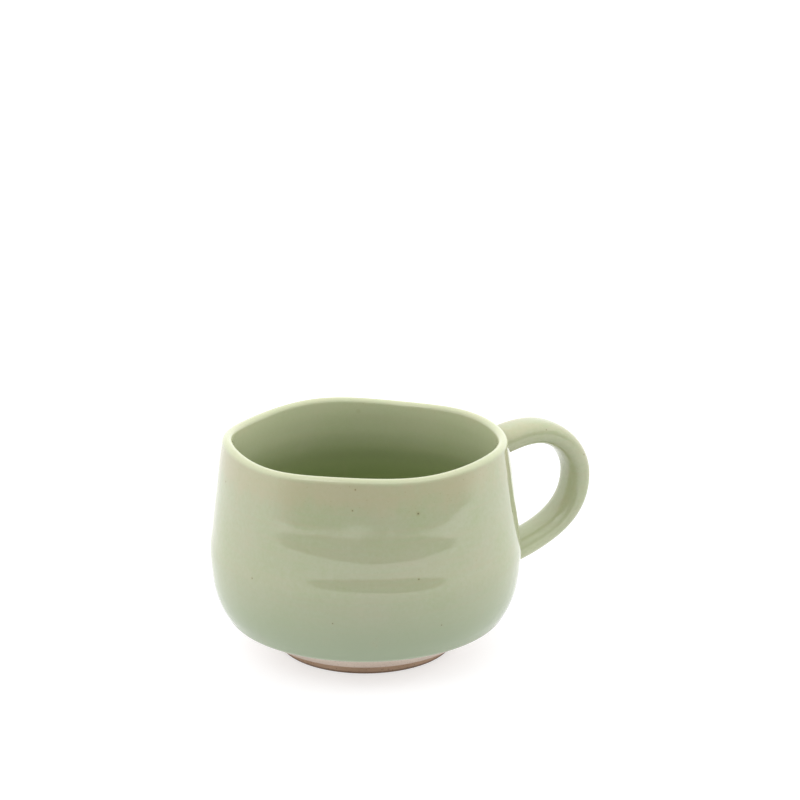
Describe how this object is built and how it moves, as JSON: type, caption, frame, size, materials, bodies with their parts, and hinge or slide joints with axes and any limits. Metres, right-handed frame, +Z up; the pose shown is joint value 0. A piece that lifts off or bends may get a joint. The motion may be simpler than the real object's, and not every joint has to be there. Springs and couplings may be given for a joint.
{
  "type": "ceramic mug",
  "caption": "Squat round-bellied mug with a softly uneven rim, a trimmed bare-clay foot and an ear-shaped strap handle at one side.",
  "frame": {"origin": "on the table, in the middle of the mug's length and width, handle included; the bowl's own axis stands 15.95 mm from it, away from the handle", "axes": "+X points along the handle, away from the bowl; +Z is up, out of the mouth"},
  "size_m": [0.1389, 0.1069, 0.0758],
  "materials": {
    "sage_glaze": "glossy sage celadon glaze, thinner and warmer on edges",
    "bare_stoneware": "unglazed buff stoneware, matt",
    "slip": "fired slip, matt"
  },
  "bodies": {
    "root": {"bowl": "bare_stoneware", "foot_ring": "bare_stoneware", "handle": "bare_stoneware", "upper_slip_joint": "slip", "lower_slip_joint": "slip", "outer_glaze": "sage_glaze", "liner_glaze": "sage_glaze", "handle_glaze": "sage_glaze"}
  },
  "joints": []
}
